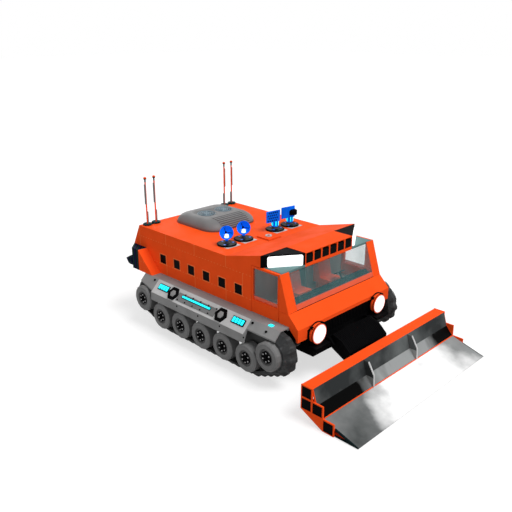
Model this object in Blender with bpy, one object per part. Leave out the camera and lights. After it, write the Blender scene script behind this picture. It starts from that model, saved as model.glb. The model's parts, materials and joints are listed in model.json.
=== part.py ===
"""Snowcat groomer: a tracked snow vehicle with a wide front blade.

Metres, +Z up. The front faces -Y and the driver's left is +X. Every size below is in body
modules M, counted along x (to the left), f (forwards) and z (up from the window sill).
"""
import math

import bmesh
import bpy
from mathutils import Matrix, Vector

M = 0.28                    # one body module in metres
GAP = 0.0015                # joint between two touching pieces
RUN = 0.03                  # running clearance of moving pieces
WALL = 0.25                 # thickness of walls, doors and roof

GROUND = -5.92
HULL = 6.0                  # half width of the hull
SILL = -1.0                 # hull underside
FLOOR_BASE = -1.35
ROOF = 3.0
BROW = 4.0                  # top of the visor above the windscreen
TAIL = -14.0
NOSE = 7.0
DOOR = (2.0, 5.0)           # rear and front edges of the side doors
WINDOWS = (-10, -8, -6, -4, -2, 0)
VISOR = 3.0                 # half width of the visor

WHEEL_R = 1.2
ROAD_Z = -4.0
ROAD_F = tuple(-7.6 + 2.72 * i for i in range(5))
IDLER_Z = -3.05
IDLER_F = (-10.25, 5.55)
BELT_IN, BELT_LINE, BELT_OUT, SHOE_TIP = 1.25, 1.5, 1.8, 1.92
SHOES = 56

LIFT_PIN = (7.55, -3.0)     # f and z of the blade frame's pivot
ANGLE_PIN_F = 9.66
TILT_Z = -4.1
RAM_FOOT = (7.2, -3.75)     # f and z of the lift cylinder's two eyes
RAM_EYE = (8.85, -3.95)
BLADE_F = 10.0
BLADE_HALF = 9.0
BLADE_TOP = -3.0
BLADE_ROW = 0.967           # height of one of the blade's three rows
BLADE_TIP = 5.0             # depth of the blade, from its back to its lip

FANS = (1.08, -9.0)         # x and f of the two roof fans
FAN_R = 0.78
HATCH_F = (-2.62, -1.18)
HATCH_HALF = 0.72
UNIT_F = -3.0
MID = (BLADE_F + BLADE_TIP - 14.8) / 2

ORANGE = ("orange paint", (1.0, 0.10, 0.013), 0.45, 0.0)
BLACK = ("black steel", (0.012, 0.012, 0.014), 0.5, 0.3)
GREY = ("grey steel", (0.16, 0.17, 0.17), 0.5, 0.4)
GUARD = ("guard alloy", (0.36, 0.36, 0.35), 0.45, 0.4)
RUBBER = ("track rubber", (0.03, 0.03, 0.03), 0.8, 0.0)
GLASS = ("tinted glass", (0.25, 0.45, 0.45), 0.05, 0.0)
DARK_GLASS = ("dark glass", (0.005, 0.005, 0.006), 0.1, 0.0)
SEAT = ("seat cover", (0.75, 0.09, 0.02), 0.7, 0.0)
TRIM = ("cab trim", (0.02, 0.07, 0.08), 0.6, 0.0)
LAMP = ("lamp glass", (0.95, 0.95, 0.92), 0.1, 0.0)
BLUE = ("blue lamp shell", (0.0, 0.12, 0.9), 0.3, 0.0)
CHROME = ("cylinder rod", (0.6, 0.6, 0.62), 0.15, 1.0)

for old in list(bpy.data.objects):
    bpy.data.objects.remove(old, do_unlink=True)


def at(x, f, z):
    """World place of a point given in modules."""
    return Vector((x * M, -(f - MID) * M, (z - GROUND) * M))


def paint(kind):
    name, colour, roughness, metallic = kind
    material = bpy.data.materials.get(name)
    if material is None:
        material = bpy.data.materials.new(name)
        material.use_nodes = True
        shader = material.node_tree.nodes["Principled BSDF"]
        shader.inputs["Base Color"].default_value = (*colour, 1.0)
        shader.inputs["Roughness"].default_value = roughness
        shader.inputs["Metallic"].default_value = metallic
    return material


# ---- shapes, each a closed bmesh in world metres -------------------------------------------

def loft(sections):
    """A closed solid through like sections, each a list of world points."""
    bm = bmesh.new()
    rings = [[bm.verts.new(p) for p in section] for section in sections]
    count = len(rings[0])
    for low, high in zip(rings, rings[1:]):
        for i in range(count):
            j = (i + 1) % count
            bm.faces.new((low[i], low[j], high[j], high[i]))
    bm.faces.new(rings[0])
    bm.faces.new(rings[-1])
    return bm


def across(outline, x0, x1):
    """An (f, z) outline carried from x0 to x1."""
    return loft([[at(x, f, z) for f, z in outline] for x in (x0, x1)])


def upward(outline, z0, z1):
    """An (x, f) outline carried from z0 to z1."""
    return loft([[at(x, f, z) for x, f in outline] for z in (z0, z1)])


def box(x0, x1, f0, f1, z0, z1):
    return across([(f0, z0), (f1, z0), (f1, z1), (f0, z1)], x0, x1)


def turned(start, direction, profile, sides=16):
    """A profile of (distance, radius) turned about a line; it starts and ends on the line."""
    axis = Vector((direction[0], -direction[1], direction[2])).normalized()
    turn = axis.to_track_quat("Z", "Y").to_matrix()
    origin = at(*start)
    bm = bmesh.new()
    rings = []
    for distance, radius in profile:
        if radius == 0:
            rings.append([bm.verts.new(origin + axis * distance * M)])
            continue
        ring = []
        for i in range(sides):
            angle = 2 * math.pi * i / sides
            spoke = turn @ Vector((math.cos(angle), math.sin(angle), 0))
            ring.append(bm.verts.new(origin + (axis * distance + spoke * radius) * M))
        rings.append(ring)
    for low, high in zip(rings, rings[1:]):
        for i in range(sides):
            j = (i + 1) % sides
            corners = [low[i % len(low)], low[j % len(low)], high[j % len(high)], high[i % len(high)]]
            bm.faces.new(list(dict.fromkeys(corners)))
    return bm


def rod(start, end, radius, sides=12):
    gap = Vector(end) - Vector(start)
    profile = ((0, 0), (0, radius), (gap.length, radius), (gap.length, 0))
    return turned(start, gap, profile, sides)


def body(name, bm, kind, pivot):
    bmesh.ops.recalc_face_normals(bm, faces=bm.faces)
    bmesh.ops.transform(bm, matrix=Matrix.Translation(-pivot), verts=bm.verts)
    mesh = bpy.data.meshes.new(name)
    bm.to_mesh(mesh)
    bm.free()
    mesh.materials.append(paint(kind))
    obj = bpy.data.objects.new(name, mesh)
    obj.location = pivot
    bpy.context.scene.collection.objects.link(obj)
    return obj


def node(name, kind, shapes, cuts=(), pivot=(0, MID, GROUND)):
    """One sub-part: the first shape, joined with the others, less the cuts."""
    obj = body(name, shapes[0], kind, at(*pivot))
    tools = [("UNION", bm) for bm in shapes[1:]] + [("DIFFERENCE", bm) for bm in cuts]
    for i, (operation, bm) in enumerate(tools):
        tool = body(f"{name}.tool{i}", bm, kind, at(*pivot))
        tool.hide_render = True
        tool.display_type = "WIRE"
        change = obj.modifiers.new(operation.title(), "BOOLEAN")
        change.operation = operation
        change.solver = "EXACT"
        change.object = tool
    return obj


def flip(outline, side):
    """An outline's first coordinate mirrored to the given side."""
    return [(side * a, b) for a, b in outline]


# ---- chassis and running gear -----------------------------------------------------------------

def chassis():
    tub = box(-4, 4, -12, 6.9, -4, FLOOR_BASE - GAP)
    well = box(-3.7, 3.7, -11.7, 6.6, -3.7, 0)
    shapes = [tub]
    cuts = [well]
    f, z = LIFT_PIN
    for side in (-1, 1):
        ear = [(6.8, z - 0.45), (f, z - 0.45), (f + 0.45, z), (f, z + 0.45), (6.8, z + 0.45)]
        shapes.append(across(ear, side * 2.62, side * 2.86))
        cuts.append(rod((side * 2.5, f, z), (side * 3, f, z), 0.27))
        lug = [(6.8, -3.99), (7.35, -3.99), (7.45, -3.75), (7.35, -3.5), (6.8, -3.5)]
        shapes.append(across(lug, side * 0.28, side * 0.42))
    foot_f, foot_z = RAM_FOOT
    shapes.append(rod((-0.5, foot_f, foot_z), (0.5, foot_f, foot_z), 0.1))
    node("chassis_frame", BLACK, shapes, cuts)
    node("engine_block", GREY, [box(-1.8, 1.8, -11, -6, -3.7 + GAP, -1.6)])
    node("floor", GREY, [box(-HULL, HULL, TAIL, 5.95, FLOOR_BASE, SILL - GAP)])


def running_gear(side, word):
    """Seven road wheels on their stub axles, carried by a side beam and cross tubes."""
    beam = box(side * 5.35, side * 5.65, -10.8, 6.1, -4.3, -2.8)
    shapes = [beam]
    wheel = ((0, 0), (0, 0.2), (1.55, 0.2), (1.55, WHEEL_R), (2.4, WHEEL_R), (2.5, 1.08),
             (2.5, 0.7), (2.34, 0.6), (2.34, 0))
    axles = [(f, ROAD_Z) for f in ROAD_F] + [(f, IDLER_Z) for f in IDLER_F]
    for f, z in axles:
        shapes.append(turned((side * 5.5, f, z), (side, 0, 0), wheel))
    for f in (-9, -3.5, 2, 5.3):
        shapes.append(rod((side * (4 + GAP), f, -3.3), (side * 5.5, f, -3.3), 0.25))
    node(f"running_gear_{word}", GREY, shapes)


def belt_path(count):
    """Foot points and outward normals, evenly spaced around the track's loop of axles."""
    axles = [(IDLER_F[0], IDLER_Z), (ROAD_F[0], ROAD_Z), (ROAD_F[-1], ROAD_Z), (IDLER_F[1], IDLER_Z)]
    pieces = []
    for i, start in enumerate(axles):
        before = Vector(start) - Vector(axles[i - 1])
        after = Vector(axles[(i + 1) % 4]) - Vector(start)
        first = math.atan2(-before.x, before.y)
        swing = -before.angle_signed(after)
        pieces.append((abs(swing) * BELT_LINE, Vector(start), Vector((0, 0)), first, swing))
        pieces.append((after.length, Vector(start), after, first + swing, 0))
    total = sum(piece[0] for piece in pieces)
    path = []
    for i in range(count):
        place = total * i / count
        for length, start, run, first, swing in pieces:
            if place < length:
                part = place / length
                angle = first + swing * part
                path.append((start + run * part, Vector((math.cos(angle), math.sin(angle)))))
                break
            place -= length
    return path


def track(side, word):
    """A closed belt whose outline carries the shoes; each shoe's ends are chamfered."""
    inner = belt_path(SHOES)
    outer = belt_path(SHOES * 4)
    heights = (0, 1, 1, 0)      # a shoe's outline along the belt: foot, crest, crest, foot
    # columns: x, reach of the foot, reach of the crest
    ends = ((7.48, 1.38, 1.41), (6.95, BELT_OUT, SHOE_TIP), (6.5, BELT_OUT, SHOE_TIP), (6.1, BELT_LINE, 1.53))
    bm = bmesh.new()
    rings = []
    for x, foot, crest in ends:
        ring = []
        for i, (base, normal) in enumerate(outer):
            reach = crest if heights[i % 4] else foot
            f, z = base + normal * reach
            ring.append(bm.verts.new(at(side * x, f, z)))
        rings.append(ring)
    bores = []
    for x in (ends[0][0], ends[-1][0]):
        points = [base + normal * BELT_IN for base, normal in inner]
        bores.append([bm.verts.new(at(side * x, f, z)) for f, z in points])
    count = SHOES * 4
    for low, high in zip(rings, rings[1:]):
        for i in range(count):
            j = (i + 1) % count
            bm.faces.new((low[i], low[j], high[j], high[i]))
    for i in range(SHOES):
        j = (i + 1) % SHOES
        bm.faces.new((bores[0][i], bores[1][i], bores[1][j], bores[0][j]))
        for bore, ring in zip(bores, (rings[0], rings[-1])):
            arc = [ring[(4 * i + k) % count] for k in range(5)]
            bm.faces.new(arc + [bore[j], bore[i]])
    node(f"track_{word}", RUBBER, [bm])


def guard(side, word):
    """The shelf over the track: flat top, sloped face and, between the idlers, a skirt."""
    sections = []
    # columns: f, reach of the slope, length of the skirt
    for f, reach, skirt in ((-11.0, 7.54, 0.12), (-8.92, 7.84, 0.12), (-8.9, 8, 0.72),
                            (3.1, 8, 0.72), (3.12, 7.6, 0.12), (6.1, 7.6, 0.12)):
        edge = 6 - reach
        outline = [(HULL + GAP, SILL), (7, SILL), (reach, edge), (reach, edge - skirt),
                   (reach - 0.1, edge - skirt), (reach - 0.1, edge - 0.04), (6.96, -1.1), (HULL + GAP, -1.1)]
        sections.append([at(side * x, f, z) for x, z in outline])
    node(f"track_guard_{word}", GUARD, [loft(sections)])


# ---- hull and cab -------------------------------------------------------------------------------

def hull_side(side, word):
    inner, outer = side * (HULL - WALL), side * HULL
    wall = [(TAIL, SILL), (DOOR[0], SILL), (DOOR[0], ROOF), (VISOR, ROOF), (VISOR, BROW),
            (-1, ROOF), (-13, ROOF), (TAIL, 1)]
    fender = [(-12, 1), (-10, SILL + GAP), (-12, SILL + GAP)]
    frames = [box(side * 5, side * 6.5, f + 0.07, f + 0.93, 0.07, 0.93) for f in WINDOWS]
    shapes = [across(wall, inner, outer), across(fender, side * 5.9, side * 7)]
    node(f"hull_side_{word}", ORANGE, shapes, frames)
    rim = 0.07 + GAP
    strip = box(side * 5.5, side * (HULL - WALL - GAP), -10.3, 1.3, -0.3, 1.3)
    panes = [box(side * 5.6, side * 5.98, f + rim, f + 1 - rim, rim, 1 - rim) for f in WINDOWS]
    node(f"side_windows_{word}", DARK_GLASS, [strip] + panes)


def hull_ends():
    inside = HULL - WALL - GAP
    rear = [(TAIL, SILL), (TAIL, 1), (-13, ROOF), (-13 + 0.28, ROOF), (TAIL + WALL, 0.94), (TAIL + WALL, SILL)]
    node("rear_panel", ORANGE, [across(rear, -inside, inside)])
    start = -12.72 + GAP
    roof = [(start, ROOF), (-1, ROOF), (VISOR, BROW), (VISOR, BROW - 0.26), (-0.94, ROOF - WALL),
            (start - 0.1, ROOF - WALL)]
    half = HATCH_HALF - 0.12
    hole = box(-half, half, HATCH_F[0] + 0.12, HATCH_F[1] - 0.12, 2, 3.5)
    node("roof", ORANGE, [across(roof, -inside, inside)], [hole])
    node("bulkhead", GREY, [box(-inside, inside, 1.7, 1.9, SILL + GAP, 2.75 - GAP)],
         [box(-0.9, 0.9, 1, 2.5, SILL - 1, 1.6)])


def cab_frame():
    """Windscreen pillars under the cab's ceiling plate."""
    shapes = [box(-5.74, 5.74, 1.95, 5, 2.8, ROOF - GAP)]
    for side in (-1, 1):
        wedge = [(DOOR[1], 0.02), (DOOR[1], 2.97), (DOOR[1] + 0.06, 2.97), (6, 0.02)]
        shapes.append(across(wedge, side * 5, side * HULL))
        shapes.append(box(side * 5.1, side * 5.7, 4.7, 5.05, 2.82, 2.97))
    node("cab_frame", ORANGE, shapes)
    pane = [(5.03, 2.78), (5.11, 2.78), (6.0, 0.06), (5.92, 0.06)]
    node("windscreen", GLASS, [across(pane, -5 + GAP, 5 - GAP)])


def visor():
    """Roof visor with a row of windows, and a lamp housing in each front corner."""
    z0, z1 = ROOF + GAP, BROW
    shapes = [box(-VISOR, VISOR, 3 + GAP, 5, z0, z1)]
    for side in (-1, 1):
        corner = [(6, 3 + GAP), (2.9, 3 + GAP), (2.9, 5), (3, 5)]
        shapes.append(upward(flip(corner, side), z0, z1 - 0.02))
    cuts = [box(-2.8, 2.8, 2, 4.8, 2.5, 3.8)]
    cuts += [box(x + 0.07, x + 0.93, 4, 6, 3.07, 3.93) for x in range(-3, 3)]
    node("visor", ORANGE, shapes, cuts)
    rim = 0.07 + GAP
    strip = box(-2.75, 2.75, 4.6, 4.8 - GAP, 3.03, 3.77)
    panes = [box(x + rim, x + 1 - rim, 4.7, 4.97, 3 + rim, 3.77) for x in range(-3, 3)]
    node("visor_window", DARK_GLASS, [strip] + panes)


def nose():
    """Sloped front panel with two cheeks, the grille below it and the lamps' shelf."""
    outer = [(6 + GAP, 0), (NOSE, SILL), (NOSE, -1.3), (NOSE - 0.2, -1.3), (NOSE - 0.2, -1.08), (5.95, -0.23)]
    shapes = [across(outer, -HULL, HULL)]
    for side in (-1, 1):
        cheek = [(DOOR[1] + RUN, SILL), (DOOR[1] + RUN, 0), (6, 0), (NOSE, SILL), (NOSE, -2.05), (6, SILL)]
        shapes.append(across(cheek, side * 5.8, side * HULL))
        shapes.append(box(side * 4.9, side * HULL, NOSE - 0.18, NOSE, -2.05, -1.1))
    node("front_panel", ORANGE, shapes)
    node("radiator_grille", BLACK, [box(-4.85, 4.85, 6.9 + GAP, 6.98, -2.3, -1.32)])
    shelf = [box(-4.9, 4.9, 6.9 + GAP, 6.99, -2.54, -2.32)]
    for side in (-1, 1):
        shelf.append(box(side * 3.1, side * 4.88, 6.9 + 2 * GAP, 6.98, -2.9, -2.34))
        shelf.append(box(side * 3.08, side * 4.86, 6.94, 7.9, -2.93, -2.66))
    node("front_bumper", BLACK, shelf)
    bowl = ((0, 0), (0, 0.5), (0.12, 0.84), (0.48, 0.84), (0.5, 0.74), (0.5, 0))
    for side, word in SIDES:
        node(f"headlamp_{word}", LAMP, [turned((side * 4, NOSE + GAP, -1.78), (0, 1, 0), bowl, 24)])


def door(side, word):
    rear, front = DOOR[0] + RUN, DOOR[1] - RUN
    pivot = (side * HULL, DOOR[0], 0)
    inner, outer = side * (HULL - WALL), side * HULL
    leaf = box(inner, outer, rear, front, SILL + RUN, ROOF - 0.04)
    window = box(side * 5, side * 7, rear + 0.15, front - 0.12, 0.12, ROOF - 0.2)
    node(f"door_{word}", ORANGE, [leaf], [window], pivot)
    edge = 0.15 + GAP
    pane = box(side * 5.84, side * 5.9, rear + edge, front - 0.12 - GAP, 0.12 + GAP, ROOF - 0.2 - GAP)
    node(f"door_glass_{word}", GLASS, [pane], (), pivot)


def cab_inside():
    for x, word in ((2, "driver"), (-2, "passenger")):
        cushion = [(2.7, -0.3), (4.2, -0.2), (4.25, 0.2), (3.1, 0.15), (2.75, 2.0), (2.4, 2.0), (2.35, -0.3)]
        plinth = box(x - 0.5, x + 0.5, 2.5, 3.8, SILL + GAP, -0.2)
        node(f"{word}_seat", SEAT, [across(cushion, x - 0.8, x + 0.8), plinth])
    board = [(4.75, SILL + GAP), (5.7, SILL + GAP), (5.75, 0.3), (5.2, 0.6), (4.75, 0.4)]
    column = rod((2, 4.9, 0.3), (2, 4.55, 0.9), 0.08, 8)
    wheel = turned((2, 4.58, 0.85), (0, -0.5, 0.86), ((0, 0), (0, 0.5), (0.08, 0.5), (0.08, 0)), 16)
    node("dashboard", TRIM, [across(board, -4.9, 4.9), column, wheel])


# ---- tail ------------------------------------------------------------------------------------------

def tail():
    for side, word in SIDES:
        plan = flip([(HULL + GAP, TAIL), (7, -13), (7, -12 - GAP), (HULL + GAP, -12 - GAP)], side)
        cone = ((0, 0), (0, 0.46), (0.7, 0.46), (1.62, 0.02), (1.62, 0))
        spike = turned((side * 6.5, -13.18, -0.5), (0, -1, -0.05), cone, 12)
        node(f"rear_locker_{word}", BLACK, [upward(plan, SILL + GAP, 1), spike])
    plate = box(-1.1, 1.1, -14.3, -14.15, -3.3, -1.5)
    arms = [box(side * 0.9 - 0.12, side * 0.9 + 0.12, -14.2, -12 - GAP, -3, -1.8) for side in (-1, 1)]
    node("rear_hitch", BLACK, [plate] + arms)


# ---- roof fittings ---------------------------------------------------------------------------------

def rounded(half, f0, f1, radius):
    """A rounded rectangle in plan, seven points to a corner."""
    points = []
    for x, f, turn in ((half, f1, 0), (-half, f1, 1), (-half, f0, 2), (half, f0, 3)):
        cx = x - math.copysign(radius, x)
        cf = f - radius if f == f1 else f + radius
        for step in range(7):
            angle = math.pi / 2 * (turn + step / 6)
            points.append((cx + radius * math.cos(angle), cf + radius * math.sin(angle)))
    return points


def fan_housing():
    """A domed cowl: its walls curve over in a quarter circle to a flat top with two wells."""
    sections = []
    for step in range(7):
        turn = math.pi / 2 * step / 6
        inset = 1 - math.cos(turn)
        plan = rounded(3 - 0.95 * inset, -11.9 + 1.3 * inset, -6 - 1.6 * inset, 1.3 - 0.6 * inset)
        sections.append([at(x, f, ROOF + GAP + 0.95 * math.sin(turn)) for x, f in plan])
    shell = loft(sections)
    wells = [rod((side * FANS[0], FANS[1], 3.58), (side * FANS[0], FANS[1], 4.2), 0.84, 20) for side in (-1, 1)]
    hollow = box(-2.2, 2.2, -10.9, -7.4, 2.5, 3.45)
    node("fan_housing", GREY, [shell], [hollow] + wells)
    for side, word in SIDES:
        x, f = side * FANS[0], FANS[1]
        shapes = [rod((x, f, 3.6 + RUN), (x, f, 3.86), 0.2, 12)]
        for i in range(5):
            angle = 2 * math.pi * i / 5
            along_x, along_f = math.cos(angle), math.sin(angle)
            plan = [(x + 0.1 * along_x - 0.16 * along_f, f + 0.1 * along_f + 0.16 * along_x),
                    (x + 0.1 * along_x + 0.16 * along_f, f + 0.1 * along_f - 0.16 * along_x),
                    (x + FAN_R * along_x + 0.16 * along_f, f + FAN_R * along_f - 0.16 * along_x),
                    (x + FAN_R * along_x - 0.16 * along_f, f + FAN_R * along_f + 0.16 * along_x)]
            shapes.append(upward(plan, 3.7, 3.76))
        node(f"fan_{word}", BLACK, shapes, (), (x, f, 3.6))


def hatch():
    lid = box(-HATCH_HALF, HATCH_HALF, HATCH_F[0], HATCH_F[1], ROOF + 0.02, ROOF + 0.1)
    knob = turned((0, -1.9, ROOF + 0.08), (0, 0, 1), ((0, 0), (0, 0.26), (0.08, 0.22), (0.08, 0)), 12)
    node("roof_hatch", ORANGE, [lid, knob], (), (0, HATCH_F[0], ROOF + 0.02))


def roof_unit(name, x, shapes):
    """A lamp head on its turntable."""
    base = turned((x, UNIT_F, ROOF + 0.02), (0, 0, 1), ((0, 0), (0, 0.86), (0.13, 0.8), (0.13, 0)), 20)
    node(name, BLUE, [base] + shapes, (), (x, UNIT_F, ROOF))


def roof_units():
    dish = ((0, 0), (0, 0.2), (0.2, 0.46), (0.44, 0.62), (0.5, 0.6), (0.3, 0.42), (0.12, 0.15), (0.12, 0))
    for x, word in ((-4, "outer"), (-2, "inner")):
        post = turned((x, UNIT_F, ROOF + 0.1), (0, 0, 1), ((0, 0), (0, 0.36), (0.2, 0.14), (0.95, 0.12), (0.95, 0)), 12)
        bowl = turned((x + 0.1, UNIT_F, ROOF + 0.98), (-0.72, 0.52, 0.4), dish, 16)
        roof_unit(f"dish_lamp_{word}", x, [post, bowl])
    for x, word in ((2, "inner"), (4, "outer")):
        post = turned((x, UNIT_F, ROOF + 0.1), (0, 0, 1), ((0, 0), (0, 0.4), (0.12, 0.3), (0.95, 0.3), (0.95, 0)), 12)
        head = box(x - 0.35, x + 0.35, UNIT_F - 0.3, UNIT_F + 0.25, ROOF + 0.95, ROOF + 1.45)
        panel = [(x - 1.15, UNIT_F + 0.1), (x + 0.3, UNIT_F + 0.35), (x + 0.3, UNIT_F + 0.23), (x - 1.15, UNIT_F - 0.02)]
        roof_unit(f"panel_lamp_{word}", x, [post, head, upward(panel, ROOF + 0.85, ROOF + 1.9)])


def antennas(side, word):
    foot = box(side * 4.0, side * 5.8, -12.66, -12.34, ROOF + GAP, ROOF + 0.06)
    shapes = [foot]
    whip = ((0, 0), (0, 0.4), (0.1, 0.36), (0.1, 0.07), (4.3, 0.07), (4.35, 0.14), (4.5, 0.14), (4.58, 0))
    for x in (4.4, 5.4):
        shapes.append(turned((side * x, -12.5, ROOF + 0.03), (0, 0, 1), whip, 8))
    node(f"antennas_{word}", ORANGE, shapes)


# ---- blade and its frame -----------------------------------------------------------------------------

def blade_z(row):
    return BLADE_TOP - (3 - row) * BLADE_ROW


def lift_frame():
    f, z = LIFT_PIN
    cheek = [(f - 0.33, z - 0.2), (f - 0.33, z + 0.2), (7.6, -2.3), (8.5, -2.6), (9.35, -3.35), (9.35, -4.75),
             (9.1, -4.75), (8.9, -4.2), (f, -3.5)]
    hood = [(7.6, -2.45), (7.6, -2.31), (8.5, -2.61), (9.34, -3.36), (9.34, -3.52), (8.45, -2.76)]
    pin = (0, f, z)
    shapes = [across(hood, -2.4, 2.4), box(-2.4, 2.4, 9.15, 9.34, -4.74, -3.4),
              rod((-2.95, f, z), (2.95, f, z), 0.24)]
    for side in (-1, 1):
        shapes.append(across(cheek, side * 2.2, side * 2.5))
        ear = [(9.2, -4.2), (9.2, -3.7), (8.75, -3.7), (8.62, -3.95), (8.75, -4.2)]
        shapes.append(across(ear, side * 0.24, side * 0.38))
    shapes.append(rod((-0.45, *RAM_EYE), (0.45, *RAM_EYE), 0.1))
    for low in (-3.72, -4.62):
        shapes.append(box(-0.5, 0.5, 9.25, 9.86, low, low + 0.14))
    bore = rod((0, ANGLE_PIN_F, -5), (0, ANGLE_PIN_F, -3), 0.15)
    node("lift_frame", BLACK, shapes, [bore], pin)


def lift_ram():
    """Lift cylinder: a barrel on the chassis foot and a rod that reaches the frame's eye."""
    foot, eye = Vector(RAM_FOOT), Vector(RAM_EYE)
    run = (eye - foot).normalized()

    def spot(distance, x=0.0):
        f, z = foot + run * distance
        return (x, f, z)

    length = (eye - foot).length
    barrel = [rod(spot(0.16), spot(1.3), 0.2), rod(spot(0, -0.2), spot(0, 0.2), 0.24)]
    cuts = [rod(spot(0, -0.3), spot(0, 0.3), 0.12), rod(spot(0.4), spot(1.5), 0.13)]
    node("lift_barrel", BLACK, barrel, cuts, (0, *RAM_FOOT))
    rod_shapes = [rod(spot(0.48), spot(length - 0.16), 0.11), rod(spot(length, -0.17), spot(length, 0.17), 0.22)]
    node("lift_rod", CHROME, rod_shapes, [rod(spot(length, -0.3), spot(length, 0.3), 0.13)], (0, *RAM_FOOT))


def blade_head():
    """Pivot block between frame and blade: it swings on an upright pin, the blade rolls on its spigot."""
    pin = rod((0, ANGLE_PIN_F, -4.75), (0, ANGLE_PIN_F, -3.45), 0.135)
    shapes = [pin, box(-0.35, 0.35, 9.52, 9.9, -4.42, -3.78), box(-1.2, 1.2, 9.84, 9.93, -4.42, -3.78),
              rod((0, 9.88, TILT_Z), (0, 10.4, TILT_Z), 0.3, 16)]
    node("blade_head", GREY, shapes, (), (0, ANGLE_PIN_F, TILT_Z))


def blade():
    """Channel-shaped blade with a flat lip, end plates and ribs, open at its back."""
    outer = [(0, 3), (1, 3), (1.37, 1.78), (2, 1), (BLADE_TIP, 0.08), (BLADE_TIP, 0.03), (2, 0.03), (0.03, 1)]
    inner = [(0.03, 1.14), (2.03, 0.15), (4.2, 0.15), (1.92, 0.86), (1.25, 1.72), (0.9, 2.88), (0, 2.88)]
    end = [(-0.02, 3.02), (1.02, 3.02), (1.02, 2), (2, 2), (2.02, 1.02), (3, 1), (3, 0), (2, 0), (-0.02, 1)]
    rib = [(0.94, 2.96), (1.45, 2.96), (2.0, 2.0), (2.06, 1.03), (1.88, 0.95), (1.3, 1.72)]

    def section(points):
        return [(BLADE_F + depth, blade_z(row)) for depth, row in points]

    shapes = [across(section(outer + inner), -BLADE_HALF + 0.1, BLADE_HALF - 0.1)]
    for side in (-1, 1):
        shapes.append(across(section(end), side * (BLADE_HALF - 0.12), side * BLADE_HALF))
        shapes.append(across(section(rib), side * 2.94, side * 3.06))
        shapes.append(box(side * 5.9, side * 6.1, 10.05, 10.95, blade_z(1.1), blade_z(2.95)))
    shapes.append(box(-1.6, 1.6, 10.0, 10.97, blade_z(1.12), blade_z(2.9)))
    cuts = [rod((0, 9.9, TILT_Z), (0, 10.5, TILT_Z), 0.33, 16)]
    for side in (-1, 1):
        for depth, row in ((0, 2), (0, 1), (1, 1), (2, 0)):
            f = BLADE_F + depth
            cuts.append(box(side * (BLADE_HALF - 0.03), side * 9.2, f + 0.08, f + 0.92,
                            blade_z(row + 0.08), blade_z(row + 0.92)))
    node("blade", ORANGE, shapes, cuts, (0, BLADE_F, TILT_Z))


SIDES = ((1, "left"), (-1, "right"))

chassis()
for side, word in SIDES:
    running_gear(side, word)
    track(side, word)
    guard(side, word)
    hull_side(side, word)
    door(side, word)
    antennas(side, word)
hull_ends()
cab_frame()
visor()
nose()
cab_inside()
tail()
fan_housing()
hatch()
roof_units()
lift_frame()
lift_ram()
blade_head()
blade()
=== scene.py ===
"""Looks of the snowcat groomer: finishes for its frame, and the trim that sits on it.

Metres, +Z up, front towards -Y, driver's left towards +X. Places are counted in body modules
M along x (to the left), f (forwards) and z (up from the window sill), as at(x, f, z).
"""

import json
import math

import bmesh
import bpy
from mathutils import Matrix, Vector

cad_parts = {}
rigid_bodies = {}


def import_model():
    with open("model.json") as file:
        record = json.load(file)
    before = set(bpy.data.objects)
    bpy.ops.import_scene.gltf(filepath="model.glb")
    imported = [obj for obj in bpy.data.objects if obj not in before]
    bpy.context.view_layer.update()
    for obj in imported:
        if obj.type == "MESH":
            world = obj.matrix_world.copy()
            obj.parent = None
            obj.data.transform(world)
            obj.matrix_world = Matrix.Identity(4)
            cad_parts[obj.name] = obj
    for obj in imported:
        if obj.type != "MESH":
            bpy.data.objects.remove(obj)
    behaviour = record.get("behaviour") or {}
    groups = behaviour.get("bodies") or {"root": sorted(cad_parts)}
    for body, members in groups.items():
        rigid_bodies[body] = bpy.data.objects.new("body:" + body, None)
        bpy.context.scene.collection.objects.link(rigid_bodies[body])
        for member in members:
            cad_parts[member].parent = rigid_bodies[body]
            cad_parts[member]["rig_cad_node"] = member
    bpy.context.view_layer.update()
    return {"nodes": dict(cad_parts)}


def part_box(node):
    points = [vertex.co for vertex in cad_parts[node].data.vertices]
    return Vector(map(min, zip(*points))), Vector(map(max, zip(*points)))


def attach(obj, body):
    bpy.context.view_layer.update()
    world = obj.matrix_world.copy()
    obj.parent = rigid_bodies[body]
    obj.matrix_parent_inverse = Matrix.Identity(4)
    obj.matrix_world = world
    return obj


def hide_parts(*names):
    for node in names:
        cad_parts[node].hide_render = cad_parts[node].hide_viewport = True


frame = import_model()
bpy.ops.object.select_all(action="DESELECT")

NODES = frame["nodes"]
M = (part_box("blade")[1].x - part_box("blade")[0].x) / 18     # the blade is 18 modules wide
GROUND = -5.92                                             # z of the ground under the tracks
LIP_F = 15.0                                               # f of the blade's lip
F_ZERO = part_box("blade")[0].y + LIP_F * M
SIDES = ("left", "right")
ROOF = 3.0                                                 # z of the roof
WINDOWS = range(-10, 1, 2)                                 # rear edges of the side windows
HEADLAMP_X, HEADLAMP_Z = 4.0, -1.78                        # middle of a headlamp
LAMPS_F = -3.0                                             # f of the four roof lamps
DISH_LAMPS = (("dish_lamp_outer", -4), ("dish_lamp_inner", -2))         # name, x
PANEL_LAMPS = (("panel_lamp_inner", 2), ("panel_lamp_outer", 4))        # name, x
BLADE_F, BLADE_TOP, BLADE_ROW = 10.0, -3.0, 0.967          # back and top of the blade, height of a row


def at(x, f, z):
    """World place of a point given in modules."""
    return Vector((x * M, F_ZERO - f * M, (z - GROUND) * M))


# ---- shader maths ------------------------------------------------------------------------------

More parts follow.
